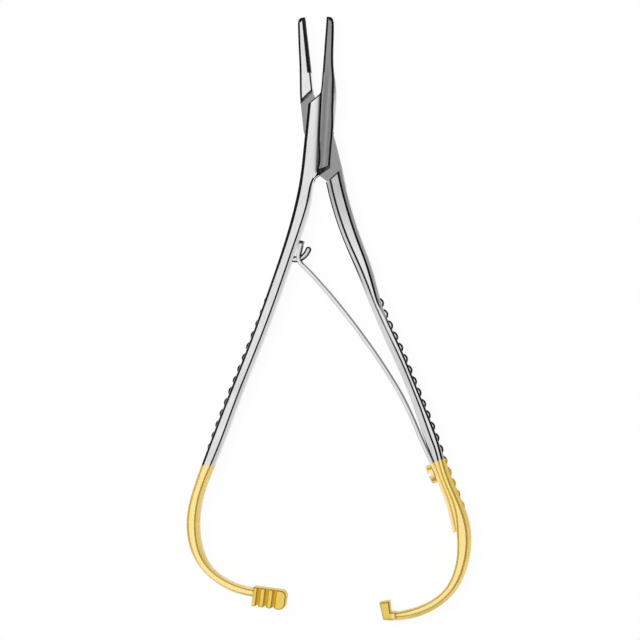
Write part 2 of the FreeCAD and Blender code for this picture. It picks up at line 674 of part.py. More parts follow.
def leaf_spring():
    """Flat spring: tail and root on the handle, then a free run to the slotted tip"""
    middle = spring_curves()
    sides = []
    for distance in (SPRING_THICKNESS / 2, -SPRING_THICKNESS / 2):
        side = Part.BSplineCurve()
        side.interpolate(Points=offset_points(middle, distance, SPRING_STEPS))
        sides.append(side.toShape())
    ends = []
    for at in (0, 1):
        ends.append(Part.LineSegment(sides[0].Vertexes[at].Point, sides[1].Vertexes[at].Point).toShape())
    outline = Part.Wire(Part.__sortEdges__([sides[0], ends[1], sides[1], ends[0]]))
    leaf = Part.Face(outline).extrude(Vector(0, 0, SPRING_WIDTH))
    leaf.translate(Vector(0, 0, MID_HEIGHT - SPRING_WIDTH / 2))
    tip = middle.value(middle.LastParameter)
    slot = Part.makeBox(SPRING_SLOT_LENGTH, SPRING_SLOT_LENGTH, SPRING_SLOT_WIDTH)
    slot.translate(Vector(
        tip.x - SPRING_SLOT_LENGTH / 2,
        tip.y - SPRING_TIP_MARGIN - SPRING_SLOT_LENGTH,
        MID_HEIGHT - SPRING_SLOT_WIDTH / 2,
    ))
    leaf = leaf.cut(slot)
    return leaf.cut(screw_hole(SCREW_HOLE_CLEARANCE, SCREW_HOLE_REACH))


def spring_screw():
    """Slotted cheese-head screw through the spring into the handle"""
    seat, into = screw_frame()
    under_head = seat - into * SPRING_THICKNESS
    head = Part.makeCylinder(SCREW_HEAD_RADIUS, SCREW_HEAD_HEIGHT, under_head, into * -1)
    rim = [e for e in head.Edges if e.Curve.TypeId == "Part::GeomCircle"]
    rim.sort(key=lambda e: e.CenterOfMass.distanceToPoint(under_head))
    head = head.makeChamfer(SCREW_HEAD_CHAMFER, rim[-1:])
    shank = Part.makeCylinder(SCREW_RADIUS, SPRING_THICKNESS + SCREW_DEPTH, under_head, into)
    cutter = Part.makeBox(
        SCREW_SLOT_DEPTH,
        SCREW_SLOT_WIDTH,
        2 * SCREW_HEAD_RADIUS + 2 * PAST,
        Vector(-SCREW_SLOT_DEPTH, -SCREW_SLOT_WIDTH / 2, -SCREW_HEAD_RADIUS - PAST),
    )
    cutter.rotate(Vector(0, 0, 0), UP, math.degrees(math.atan2(into.y, into.x)))
    cutter.translate(under_head - into * (SCREW_HEAD_HEIGHT - SCREW_SLOT_DEPTH))
    return head.fuse(shank).cut(cutter).removeSplitter()


def pin_cylinder(clearance):
    """Cylinder about the pivot, longer than the lock is thick"""
    return Part.makeCylinder(PIN_RADIUS + clearance, BOX_THICKNESS + 2 * PAST, Vector(0, 0, -PAST))


def box_arm():
    """Left handle, box, right jaw and ratchet block in one piece"""
    body = box_arm_envelope()
    ridges = grip_ridges(
        BOX_HANDLE_OUTER,
        BOX_HANDLE_INNER,
        RIDGE_START_BOX_ARM,
        RIDGE_COUNT_BOX_ARM,
        RIDGE_HEIGHT_BOX_ARM,
        RIDGE_FIRST_SHARE_BOX_ARM,
    )
    body = body.multiFuse(ridges + [ratchet_block()])
    body = body.cut(lock_slot())
    body = body.cut(insert_slab(BOX_INSERT_THICKNESS))
    body = body.cut(pin_cylinder(0.0))
    return body.cut(guide_horn())


def tongue_arm():
    """Right handle, tongue, left jaw and catch hook in one piece"""
    grip = handle(TONGUE_HANDLE_OUTER, TONGUE_HANDLE_INNER, tongue_arm_thickness, tongue_facets)
    grip = grip.cut(beyond(TONGUE_BOTTOM_LINE, -1))
    grip = grip.cut(sloped_end(TONGUE_BOTTOM_LINE, -1, TONGUE_BOTTOM_SLOPE, SHOULDER_THICKNESS))
    low = MID_HEIGHT - TONGUE_THICKNESS / 2
    tongue = prism(TONGUE_PLAN, low, low + TONGUE_THICKNESS)
    ridges = grip_ridges(
        TONGUE_HANDLE_OUTER,
        TONGUE_HANDLE_INNER,
        RIDGE_START_TONGUE_ARM,
        RIDGE_COUNT_TONGUE_ARM,
        RIDGE_HEIGHT_TONGUE_ARM,
        RIDGE_FIRST_SHARE_TONGUE_ARM,
    )
    for ridge in ridges:
        grip = grip.fuse(ridge)
    body = grip.multiFuse([tongue_jaw(), tongue, catch_hook()])
    body = body.cut(insert_slab(TONGUE_INSERT_THICKNESS))
    body = body.cut(pin_cylinder(PIN_CLEARANCE))
    return body.cut(screw_hole(0.0, SCREW_DEPTH))


def main():
    """Builds every piece and writes one file for each"""
    os.makedirs("parts", exist_ok=True)
    box_slab = insert_slab(BOX_INSERT_THICKNESS)
    tongue_slab = insert_slab(TONGUE_INSERT_THICKNESS)
    pieces = {
        "box_arm": place_on_box_arm(box_arm()),
        "tongue_arm": place_on_tongue_arm(tongue_arm()),
        "box_arm_jaw_insert": place_on_box_arm(box_jaw().common(box_slab)),
        "tongue_arm_jaw_insert": place_on_tongue_arm(tongue_jaw().common(tongue_slab)),
        "pivot_pin": place_on_box_arm(pin_cylinder(0.0).common(box_arm_envelope())),
        "spring_guide_horn": place_on_box_arm(guide_horn()),
        "leaf_spring": place_on_tongue_arm(leaf_spring()),
        "spring_screw": place_on_tongue_arm(spring_screw()),
    }
    for name, shape in pieces.items():
        print(name, shape.isValid(), [round(s.Volume, 2) for s in shape.Solids], flush=True)
        shape.exportStep("parts/" + name + ".step")


main()
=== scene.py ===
# %% [markdown]
# # A surgical needle holder on a pale table
#
# A needle holder is a small locking pair of pliers with which a surgeon drives a curved needle. This one
# has two steel arms crossing in a box lock, dark hard-metal plates in its jaws, ridged handles whose lower
# ends are gilded, and a leaf spring that pushes the handles apart. The arms' shapes come from the packed
# model and are not touched here. This lesson gives them their finish, models the pieces that need finer
# work than a solid model holds, and sets up the light that polished metal needs.

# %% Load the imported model
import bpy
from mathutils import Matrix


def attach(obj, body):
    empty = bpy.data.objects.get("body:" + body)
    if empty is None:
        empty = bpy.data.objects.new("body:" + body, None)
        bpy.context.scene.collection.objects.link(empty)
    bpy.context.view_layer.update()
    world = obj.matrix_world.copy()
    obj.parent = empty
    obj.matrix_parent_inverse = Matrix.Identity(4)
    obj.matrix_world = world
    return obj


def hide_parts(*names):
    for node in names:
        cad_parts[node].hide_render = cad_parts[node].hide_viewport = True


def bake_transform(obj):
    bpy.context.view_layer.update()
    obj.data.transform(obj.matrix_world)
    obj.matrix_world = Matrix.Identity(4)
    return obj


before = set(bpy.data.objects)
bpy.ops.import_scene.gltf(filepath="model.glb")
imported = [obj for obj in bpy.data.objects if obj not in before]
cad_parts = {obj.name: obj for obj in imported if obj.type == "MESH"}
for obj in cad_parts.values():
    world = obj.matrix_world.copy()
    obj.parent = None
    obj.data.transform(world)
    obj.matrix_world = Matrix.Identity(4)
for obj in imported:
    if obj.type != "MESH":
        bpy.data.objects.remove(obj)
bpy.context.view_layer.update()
print("nodes:", ", ".join(sorted(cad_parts)))

# %% Python's helpers and the unit
import bpy
import math
from mathutils import Matrix, Vector

MM = 0.001


def in_mm(lengths, digits=1):
    """Lengths in millimetres, rounded for printing"""
    return [round(length / MM, digits) for length in lengths]


# %% [markdown]
# ## Where things are
#
# Each arm is easiest to think about as it stands on the closed instrument: the jaws along +Y, the middle
# of the instrument at X = 0 and the arm's own handle on the +X side. Two matrices carry such a drawing to
# the open instrument, which leans a little as a whole. The tongue arm only turns about the pivot. The box
# arm is mirrored first, since its handle is the left one.

# %% Frames of the two arms
OPENING_ANGLE = 10.0
LEAN_ANGLE = 1.17
TONGUE_ARM_TURN = math.radians(LEAN_ANGLE + OPENING_ANGLE / 2)
BOX_ARM_TURN = math.radians(LEAN_ANGLE - OPENING_ANGLE / 2)
MID_HEIGHT = 3.2 * MM

tongue_frame = Matrix.Rotation(TONGUE_ARM_TURN, 4, "Z")
box_frame = Matrix.Rotation(BOX_ARM_TURN, 4, "Z") @ Matrix.Scale(-1, 4, (1, 0, 0))
print("the arms stand", OPENING_ANGLE, "degrees apart")

# %% [markdown]
# ## Working by hand, in code
#
# The pieces below are modelled as they would be by hand: a primitive is added, opened in edit mode and
# shaped with the usual tools. An operator acts on everything that is selected, so each job starts with an
# empty selection or with one piece alone, and picks its faces by where they are.

# %% Selecting
def start_fresh():
    """Leave edit mode and select nothing"""
    if bpy.context.object and bpy.context.object.mode != "OBJECT":
        bpy.ops.object.mode_set(mode="OBJECT")
    bpy.ops.object.select_all(action="DESELECT")


def choose(piece):
    """Select one piece alone and make it the active one"""
    start_fresh()
    piece.select_set(True)
    bpy.context.view_layer.objects.active = piece


def work_on(piece, select_mode="FACE"):
    """Open one piece in edit mode with nothing selected"""
    choose(piece)
    bpy.ops.object.mode_set(mode="EDIT")
    bpy.ops.mesh.select_mode(type=select_mode)
    bpy.ops.mesh.select_all(action="DESELECT")


def pick_faces(piece, test):
    """In edit mode, select the faces that pass a test"""
    bpy.ops.object.mode_set(mode="OBJECT")
    for face in piece.data.polygons:
        face.select = test(face)
    bpy.ops.object.mode_set(mode="EDIT")


start_fresh()
print("selection helpers ready")

# %% Finishing a piece
def apply_modifiers(piece):
    """Make every modifier's result the piece's own mesh"""
    choose(piece)
    for modifier in list(piece.modifiers):
        bpy.ops.object.modifier_apply(modifier=modifier.name)


def settle(piece, placing, smooth_angle):
    """Carry a piece to its place for good, turn its faces outwards and smooth what is nearly flat"""
    choose(piece)
    piece.matrix_world = placing @ piece.matrix_world
    bpy.ops.object.transform_apply(location=True, rotation=True, scale=True)
    bpy.ops.object.mode_set(mode="EDIT")
    bpy.ops.mesh.select_all(action="SELECT")
    bpy.ops.mesh.normals_make_consistent(inside=False)
    bpy.ops.object.mode_set(mode="OBJECT")
    bpy.ops.object.shade_smooth_by_angle(angle=math.radians(smooth_angle))
    start_fresh()
    print(piece.name, "has", len(piece.data.polygons), "faces")


print("finishing helpers ready")

# %% [markdown]
# ## The leaf spring
#
# The real spring is a strip of spring steel, screwed to the right handle at its lower end. From there it
# runs across to the left handle and pushes it away. Its free tip has a slot, and a small horn on the left
# handle passes through it, so that the tip can slide but not slip off.
#
# It could be a thick box bent by a modifier, but a strip is better drawn by its line. A curve with
# automatic handles passes smoothly through a few points, from below the screw to the tip. Each is a
# distance outward and a distance along the arm's drawing, in millimetres. The curve turns into a row of
# edges that are extruded upwards three times. The three bands make the slot easy: the middle band's faces
# are deleted along it. A Solidify modifier then gives the strip its thickness and a Bevel its broken edges.

# %% The spring's line
SPRING_WIDTH = 4.4 * MM
SPRING_LINE = [
    (26.18, -113.5), (25.25, -106.0), (23.72, -100.0), (22.01, -94.0), (19.72, -87.2), (17.96, -81.4),
    (15.90, -75.5), (13.32, -69.6), (7.00, -57.65), (-0.42, -45.6), (-4.69, -39.5), (-7.40, -35.9),
    (-8.72, -34.3), (-9.07, -32.5), (-8.40, -30.3), (-7.62, -28.1),
]
EDGES_BETWEEN_POINTS = 10

start_fresh()
bpy.ops.curve.primitive_bezier_curve_add(location=(0, 0, 0))
leaf = bpy.context.object
leaf.name = "leaf_spring_strip"
line = leaf.data.splines[0]
line.bezier_points.add(len(SPRING_LINE) - len(line.bezier_points))
for knot, (outward, along) in zip(line.bezier_points, SPRING_LINE):
    knot.co = (outward * MM, along * MM, MID_HEIGHT - SPRING_WIDTH / 2)
    knot.handle_left_type = "AUTO"
    knot.handle_right_type = "AUTO"
leaf.data.resolution_u = EDGES_BETWEEN_POINTS
choose(leaf)
bpy.ops.object.convert(target="MESH")
leaf = bpy.context.object
print("the spring's line has", len(leaf.data.vertices), "points")

# %% Three bands and the slot
SPRING_SLOT_WIDTH = 2.4 * MM
SPRING_SLOT_LENGTH = 6.0 * MM
SPRING_TIP_MARGIN = 1.2 * MM
PRONG_WIDTH = (SPRING_WIDTH - SPRING_SLOT_WIDTH) / 2
slot_end = SPRING_LINE[-1][1] * MM - SPRING_TIP_MARGIN
slot_start = slot_end - SPRING_SLOT_LENGTH


def in_slot(face):
    """Whether a face of the strip lies in the slot"""
    in_middle_band = abs(face.center.z - MID_HEIGHT) < SPRING_SLOT_WIDTH / 4
    return in_middle_band and slot_start < face.center.y < slot_end


work_on(leaf, "EDGE")
bpy.ops.mesh.select_all(action="SELECT")
for rise in (PRONG_WIDTH, SPRING_SLOT_WIDTH, PRONG_WIDTH):
    bpy.ops.mesh.extrude_region_move(TRANSFORM_OT_translate={"value": (0, 0, rise)})
for cut_along in (slot_start, slot_end):
    bpy.ops.mesh.select_all(action="SELECT")
    bpy.ops.mesh.bisect(plane_co=(0, cut_along, 0), plane_no=(0, 1, 0))
bpy.ops.mesh.select_mode(type="FACE")
pick_faces(leaf, in_slot)
bpy.ops.mesh.delete(type="FACE")
start_fresh()
print("slot", round(SPRING_SLOT_LENGTH / MM, 1), "mm long; strip has", len(leaf.data.polygons), "faces")

# %% Thickness and broken edges
SPRING_THICKNESS = 1.05 * MM
BROKEN_EDGE = 0.2 * MM
CORNER_ANGLE = 50
SPRING_SMOOTH_ANGLE = 30

plate = leaf.modifiers.new("thickness", "SOLIDIFY")
plate.thickness = SPRING_THICKNESS
plate.offset = 0
plate.use_even_offset = True
edges = leaf.modifiers.new("broken edges", "BEVEL")
edges.width = BROKEN_EDGE
edges.segments = 2
edges.limit_method = "ANGLE"
edges.angle_limit = math.radians(CORNER_ANGLE)
apply_modifiers(leaf)
settle(leaf, tongue_frame, SPRING_SMOOTH_ANGLE)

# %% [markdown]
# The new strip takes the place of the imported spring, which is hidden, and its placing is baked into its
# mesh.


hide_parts("leaf_spring")
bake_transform(leaf)

# %% [markdown]
# ## The jaw plates
#
# The jaws are faced with hard-metal plates, brazed in, whose gripping sides are cut with a fine crossed
# pattern so that the needle can't turn. A bump texture would do from afar. Here the pattern is real: a grid
# with one face for each tooth is poked, which raises a point in the middle of every face, then trimmed to
# the jaw's taper with two slanting cuts. Its rim is extruded back into the jaw and closed.

# %% Sizes of the jaw plates
PLATE_START = 18.3 * MM
PLATE_END = 33.95 * MM
PLATE_FACE = -0.05 * MM
RIGHT_PLATE_THICKNESS = 0.64 * MM
LEFT_PLATE_THICKNESS = 0.94 * MM
PLATE_HALF_AT_START = 2.02 * MM
PLATE_HALF_AT_END = 0.98 * MM
PLATE_SPREAD = 1.1
TOOTH_SIZE = 0.42 * MM
TOOTH_HEIGHT = 0.11 * MM
PLATE_SMOOTH_ANGLE = 20

plate_length = PLATE_END - PLATE_START
plate_width = 2 * PLATE_HALF_AT_START
plate_taper = (PLATE_HALF_AT_START - PLATE_HALF_AT_END) / plate_length
print("jaw plates in mm:", in_mm((plate_length, plate_width)))

# %% Model one jaw plate
def toothed_grid(name):
    """A standing grid whose every face is raised to the point of a tooth"""
    start_fresh()
    bpy.ops.mesh.primitive_grid_add(
        x_subdivisions=round(plate_width / TOOTH_SIZE),
        y_subdivisions=round(plate_length / TOOTH_SIZE),
        size=1.0,
        location=(PLATE_FACE - TOOTH_HEIGHT, (PLATE_START + PLATE_END) / 2, MID_HEIGHT),
        rotation=(0, math.radians(90), 0),
    )
    piece = bpy.context.object
    piece.name = name
    piece.scale = (plate_width, plate_length, 1)
    bpy.ops.object.transform_apply(location=True, rotation=True, scale=True)
    work_on(piece)
    bpy.ops.mesh.select_all(action="SELECT")
    bpy.ops.mesh.poke(offset=TOOTH_HEIGHT)
    return piece


def jaw_plate(name, thickness, placing):
    """A toothed plate, drawn on the closed instrument's middle and carried to one of the jaws"""
    piece = toothed_grid(name)
    for side in (1, -1):
        bpy.ops.mesh.select_all(action="SELECT")
        bpy.ops.mesh.bisect(
            plane_co=(0, PLATE_START, MID_HEIGHT + side * PLATE_HALF_AT_START),
            plane_no=(0, plate_taper, side),
            clear_outer=True,
        )
    back = PLATE_FACE - thickness
    bpy.ops.mesh.select_mode(type="EDGE")
    bpy.ops.mesh.select_all(action="DESELECT")
    bpy.ops.mesh.select_non_manifold()
    bpy.ops.mesh.extrude_region_move(TRANSFORM_OT_translate={"value": (-thickness, 0, 0)})
    bpy.ops.transform.resize(value=(0, 1, PLATE_SPREAD), center_override=(back, 0, MID_HEIGHT))
    bpy.ops.mesh.edge_face_add()
    settle(piece, placing, PLATE_SMOOTH_ANGLE)
    return piece


box_plate = jaw_plate("right_jaw_grip_plate", RIGHT_PLATE_THICKNESS, box_frame)
tongue_plate = jaw_plate("left_jaw_grip_plate", LEFT_PLATE_THICKNESS, tongue_frame)

# %% Seat both plates
for plate_piece, node, body in (
    (box_plate, "box_arm_jaw_insert", "box_arm_body"),
    (tongue_plate, "tongue_arm_jaw_insert", "tongue_arm_body"),
):
    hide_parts(node)
    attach(plate_piece, body)
    print(plate_piece.name, "rides on", body)

# %% [markdown]
# ## Shader maths in plain Python
#
# A material is a small computation for each point of the surface. Written node by node it is hard to read,
# so one class wraps an output socket and lets Python's operators add the Math nodes, and one method adds
# any other node.

# %% A wire that can be calculated with
class Wire:
    """An output socket that can be added, subtracted and multiplied"""

    def __init__(self, board, socket):
        self.board = board
        self.socket = socket

    def math(self, operation, first, second):
        """Add a Math node for two wires or numbers"""
        return self.board.node("ShaderNodeMath", {"operation": operation}, {0: first, 1: second})

    def __add__(self, other):
        return self.math("ADD", self, other)

    def __radd__(self, other):
        return self.math("ADD", other, self)

    def __sub__(self, other):
        return self.math("SUBTRACT", self, other)

    def __rsub__(self, other):
        return self.math("SUBTRACT", other, self)

    def __mul__(self, other):
        return self.math("MULTIPLY", self, other)

    def __rmul__(self, other):
        return self.math("MULTIPLY", other, self)


print("operators ready")

# %% [markdown]
# Most of the patterns below are masks: 1 in some region, 0 outside it and a soft edge between. A step is
# one such edge and takes two numbers, where it starts and where it is full. A band is a step up and a step
# down again and takes four.

# %% A board to put nodes on
RELIEF_DEPTH = 0.02 * MM


class Board:
    """The node tree of a material or of the world"""

    def __init__(self, owner):
        owner.use_nodes = True
        self.tree = owner.node_tree
        self.tree.nodes.clear()

    def node(self, kind, settings=None, sockets=None, out=0):
        """Add a node, its settings first and then its sockets, and give back one of its outputs"""
        added = self.tree.nodes.new(kind)
        for name, value in (settings or {}).items():
            setattr(added, name, value)
        for name, value in (sockets or {}).items():
            if isinstance(value, Wire):
                self.tree.links.new(value.socket, added.inputs[name])
            else:
                added.inputs[name].default_value = value
        return Wire(self, added.outputs[out]) if added.outputs else None

    def step(self, value, start, end):
        """0 below start, 1 above end and a soft rise between them"""
        return self.node(
            "ShaderNodeMapRange",
            {"interpolation_type": "SMOOTHSTEP"},
            {"Value": value, "From Min": start, "From Max": end},
        )

    def band(self, value, rise_start, rise_end, fall_start, fall_end):
        """1 from the end of the rise to the start of the fall, 0 beyond both"""
        return self.step(value, rise_start, rise_end) * (1 - self.step(value, fall_start, fall_end))

    def distance(self, value, middle):
        """How far a value is from a middle one, on either side of it"""
        return self.node("ShaderNodeMath", {"operation": "ABSOLUTE"}, {0: value - middle})

    def tilt(self, sideways, up):
        """How far a direction leans away from straight up, in degrees"""
        lean = self.node("ShaderNodeMath", {"operation": "ARCTAN2"}, {0: sideways, 1: up})
        return lean * math.degrees(1)

    def mix(self, share, first, second):
        """A blend of two colours"""
        return self.node("ShaderNodeMix", {"data_type": "RGBA"}, {0: share, 6: first, 7: second}, 2)

    def position_mm(self):
        """The point on the surface in millimetres, as a vector"""
        place = self.node("ShaderNodeTexCoord", out="Object")
        return self.node("ShaderNodeVectorMath", {"operation": "SCALE"}, {0: place, "Scale": 1 / MM})

    def split(self, vector):
        """The three parts of a vector"""
        first = self.node("ShaderNodeSeparateXYZ", None, {0: vector})
        return [Wire(self, output) for output in first.socket.node.outputs]

    def noise(self, vector, scale, detail=2.0):
        """Soft noise from 0 to 1; scale is a number, or three for a stretched noise"""
        if not isinstance(scale, (int, float)):
            vector = self.node("ShaderNodeVectorMath", {"operation": "MULTIPLY"}, {0: vector, 1: scale})
            scale = 1.0
        return self.node("ShaderNodeTexNoise", None, {"Vector": vector, "Scale": scale, "Detail": detail})

    def relief(self, strength, height):
        """Very low bumps, as a normal"""
        return self.node(
            "ShaderNodeBump",
            None,
            {"Strength": strength, "Distance": RELIEF_DEPTH, "Height": height},
        )

    def finish(self, shader):
        """Join a shader to the output"""
        self.node("ShaderNodeOutputMaterial", None, {"Surface": shader})


print("board ready")

# %% [markdown]
# ## Steel
#
# The arms are polished stainless steel with a very fine grind along their length. One flat grey would look
# like plastic, and real scratches are far too fine to model. From a hand's breadth away the grind shows as
# soft streaks, so the steel is metal with a low roughness, and stretched noise varies its colour, roughness
# and height a little.
#
# A few places are darker than the rest. Most of this is painted shade and painted dark lines; only the
# tongue is also ground duller. They could be painted on an image, but each is easily found by its position
# on the instrument. So each kind of piece has a function that takes the distances across, along and up in
# millimetres and gives a mask: 0 where the steel is bright and 1 where it is darkened.
#
# The tongue is only ground flat where it passes through the box, not polished, and is darkened further
# with painted shade from the box around it. Below it the handle's shoulder gets a soft painted shade, and a
# thin painted dark line runs beside it where the side facets end.

# %% Ground tongue and painted shade of the tongue arm
MID_HEIGHT_MM = MID_HEIGHT / MM
TONGUE_LEVEL = (1.75, 1.95, 4.45, 4.65)
TONGUE_STRETCH = (-14.5, -13.5, 13.0, 14.0)
TONGUE_GROUND_AND_SHADE = 0.63
SHOULDER_STRETCH = (-34.0, -13.0)
SHOULDER_SIDE = (0.8, 1.2)
SHOULDER_PAINTED_SHADE = 0.33
HANDLE_HALF_THICKNESS = 2.5
SHOULDER_THICKENING = 0.6
THICKENING_STRETCH = (-34.0, -12.0)
RIM_BELOW_FACE = (0.72, 0.77, 0.9, 0.95)
RIM_STRETCH = (-47.0, -36.0, -13.0, -12.0)


def tongue_ground_and_shade(board, across, along, up):
    """Ground tongue faces with painted shade, painted shade below the shoulder, a painted line where facets
    end
    """
    level = board.band(up, *TONGUE_LEVEL)
    # The tongue: ground flat, and darkened further with painted shade of the box around it
    tongue = level * board.band(along, *TONGUE_STRETCH) * TONGUE_GROUND_AND_SHADE
    # Painted shade on the handle's shoulder below the box
    below_box = board.step(along, *SHOULDER_STRETCH) * board.step(across, *SHOULDER_SIDE)
    shoulder = below_box * (1 - level) * SHOULDER_PAINTED_SHADE
    along_arm = along * math.cos(TONGUE_ARM_TURN) - across * math.sin(TONGUE_ARM_TURN)
    thickening = board.step(along_arm, *THICKENING_STRETCH) * SHOULDER_THICKENING
    below_face = HANDLE_HALF_THICKNESS + thickening - board.distance(up, MID_HEIGHT_MM)
    # A thin painted dark line where the side facets end
    rim = board.band(below_face, *RIM_BELOW_FACE) * board.band(along_arm, *RIM_STRETCH)
    return tongue + shoulder + rim


print("tongue's dull places ready")

# %% [markdown]
# The two bars of the box are a little crowned, and their shading is painted. The right one keeps one light
# streak along it, with painted shade on both sides of it. The left one gets a painted shade towards the
# split between the bars, with a darker painted line close beside it. Both lines lean with the arm, so a
# little of the distance along is taken off first.

# %% Painted shade on the box arm's bars
BAR_STRETCH = (-10.5, -9.0, 14.0, 22.0)
STREAK_LEAN = 0.0706
STREAK_PLACE = 2.25
STREAK_SHADE = (0.1, 0.6, 1.4, 1.6)
STREAK_PAINTED_SHADE = 0.36
SPLIT_LEAN = 0.0445
SPLIT_PLACE = 0.455
SPLIT_SHADE = (-1.8, 0.1)
SPLIT_PAINTED_SHADE = 0.5
SPLIT_LINE = (-0.8, -0.45)
SPLIT_PAINTED_LINE = 0.45
SPLIT_END = (0.1, 0.3)


def bars_painted_shade(board, across, along, up):
    """Painted shade beside the light streak of the right bar, and along the left bar's edge at the split"""
    # Painted shade on both sides of the right bar's streak
    beside_streak = board.distance(across - along * STREAK_LEAN, STREAK_PLACE)
    right_bar = board.band(beside_streak, *STREAK_SHADE) * STREAK_PAINTED_SHADE
    # Painted shade and a painted dark line on the left bar beside the split
    beside_split = across - along * SPLIT_LEAN - SPLIT_PLACE
    soft_shade = board.step(beside_split, *SPLIT_SHADE) * SPLIT_PAINTED_SHADE
    dark_line = board.step(beside_split, *SPLIT_LINE) * SPLIT_PAINTED_LINE
    left_bar = (soft_shade + dark_line) * (1 - board.step(beside_split, *SPLIT_END))
    return (right_bar + left_bar) * board.band(along, *BAR_STRETCH)


print("bars' dull places ready")

# %% [markdown]
# The spring's broad sides, its rounded edges and its very tip get a painted shade, and so do the horn's
# flanks. Only what looks straight up or down is left bright: the strip's two narrow faces and the crests of
# the horn. Both are found by their distance from mid height.

# %% Painted shade on the spring and the horn
SPRING_NARROW_FACE = (2.12, 2.19)
SPRING_TIP_STRETCH = (-29.9, -29.3)
HORN_CREST = (0.55, 0.72)


def spring_painted_shade(board, across, along, up):
    """Painted shade: 1 on the spring's broad sides and over its tip, 0 on the narrow faces that look up and
    down
    """
    # Painted shade on the spring's sides, rounded edges and tip
    narrow_face = board.step(board.distance(up, MID_HEIGHT_MM), *SPRING_NARROW_FACE)
    tip = board.step(along, *SPRING_TIP_STRETCH)
    return board.step(1 - narrow_face + tip, 0.0, 1.0)


def pin_painted_shade(board, across, along, up):
    """Painted shade: 1 on the flanks of a round pin that lies along the table, 0 on its crest"""
    # Painted shade on the horn's flanks, its crest left bright
    return 1 - board.step(board.distance(up, MID_HEIGHT_MM), *HORN_CREST)


print("dark skins ready")

# %% [markdown]
# Streaks of two sizes follow the arm, and a much larger, unstretched noise stands for the traces of
# handling. The noise scales are waves for each millimetre. Where the mask is 1, the metal turns to a dark
# grey of painted shade, on the tongue also ground steel, and gets rougher.

# %% Ground finish and steel
GRIND_SCALE = (7.0, 0.16, 7.0)
FINE_GRIND_SCALE = (26.0, 0.5, 26.0)
HANDLING_SCALE = 0.11
GRIND_SHARE = 0.6
STREAK_SHARE = 0.7
TONE_RANGE = (0.3, 0.7)
GRIND_STRENGTH = 0.12
STEEL_DARK = (0.58, 0.58, 0.59, 1)
STEEL_LIGHT = (0.76, 0.76, 0.765, 1)
# This dark grey is painted shade and painted dark lines, and on the tongue also ground steel
SHADE_AND_GROUND_GREY = (0.035, 0.035, 0.037, 1)
STEEL_ROUGHNESS = 0.07
ROUGHER_BY_STREAKS = 0.08
ROUGHER_BY_HANDLING = 0.04
ROUGHER_WHERE_DULL = 0.2


def ground_finish(board, place, grind_turn):
    """The streaks, the traces of handling, the tone that both give, and the streaks' relief"""
    rotation = (0, 0, math.radians(grind_turn))
    turned = board.node("ShaderNodeMapping", None, {"Vector": place, "Rotation": rotation})
    grind = board.noise(turned, GRIND_SCALE, detail=4.0)
    fine_grind = board.noise(turned, FINE_GRIND_SCALE)
    streaks = grind * GRIND_SHARE + fine_grind * (1 - GRIND_SHARE)
    handling = board.noise(place, HANDLING_SCALE)
    tone = board.step(streaks * STREAK_SHARE + handling * (1 - STREAK_SHARE), *TONE_RANGE)
    return streaks, handling, tone, board.relief(GRIND_STRENGTH, streaks)


def polished_steel(board, streaks, handling, tone, relief, ground_and_shade):
    """Bright steel, turning rougher and to a dark grey of painted shade, or ground tongue, where the mask
    is 1
    """
    bright = board.mix(tone, STEEL_DARK, STEEL_LIGHT)
    roughness = STEEL_ROUGHNESS + streaks * ROUGHER_BY_STREAKS + handling * ROUGHER_BY_HANDLING
    return board.node(
        "ShaderNodeBsdfPrincipled",
        None,
        {
            # Painted shade: the mask turns the steel to the dark grey
            "Base Color": board.mix(ground_and_shade, bright, SHADE_AND_GROUND_GREY),
            "Metallic": 1.0,
            "Roughness": roughness + ground_and_shade * ROUGHER_WHERE_DULL,
            "Normal": relief,
        },
    )


print("steel ready")

# %% [markdown]
# ## Gilding
#
# The lower ends of the handles are gilded up to a line across each arm. Thin gilding over satin steel is a
# deep yellow of its own with a pale sheen on top, where polished gold would turn black wherever it mirrors
# a dark room. A yellow base under a strong clear reflection gives that. The ratchet's block and hook, which
# reach in between the handles, are gilded matt: a little darker, rougher and more like bare metal.

# %% Gold
GOLD_DARK = (0.86, 0.55, 0.004, 1)
GOLD_LIGHT = (0.96, 0.66, 0.03, 1)
GOLD_MATT = (0.78, 0.53, 0.012, 1)
GOLD_METALLIC = 0.15
MATT_MORE_METALLIC = 0.5
GOLD_ROUGHNESS = 0.2
GOLD_ROUGHER_BY_STREAKS = 0.15
MATT_ROUGHER = 0.1
RATCHET_MIDDLE = 1.3
RATCHET_REACH = (19.2, 19.9)


def gold_film(board, across, streaks, tone, relief):
    """Thin gilding, matt on the ratchet's block and hook"""
    matt = 1 - board.step(board.distance(across, RATCHET_MIDDLE), *RATCHET_REACH)
    bright = board.mix(tone, GOLD_DARK, GOLD_LIGHT)
    roughness = GOLD_ROUGHNESS + streaks * GOLD_ROUGHER_BY_STREAKS + matt * MATT_ROUGHER
    return board.node(
        "ShaderNodeBsdfPrincipled",
        None,
        {
            "Base Color": board.mix(matt, bright, GOLD_MATT),
            "Metallic": GOLD_METALLIC + matt * MATT_MORE_METALLIC,
            "Roughness": roughness,
            "IOR": 4.0,
            "Normal": relief,
        },
    )


print("gold ready")

# %% [markdown]
# Each piece's material holds both surfaces, and a mask across the arm chooses between them. The line isn't
# masked off sharply on a real one, so its edge is soft and a little ragged. A gilding line is written as
# its height at the instrument's middle and how much it climbs for each millimetre across.

# %% Steel above the line, gold below it
GILDING_EDGE = 0.35
RAGGED_SCALE = 3.0
RAGGED_DEPTH = 0.3


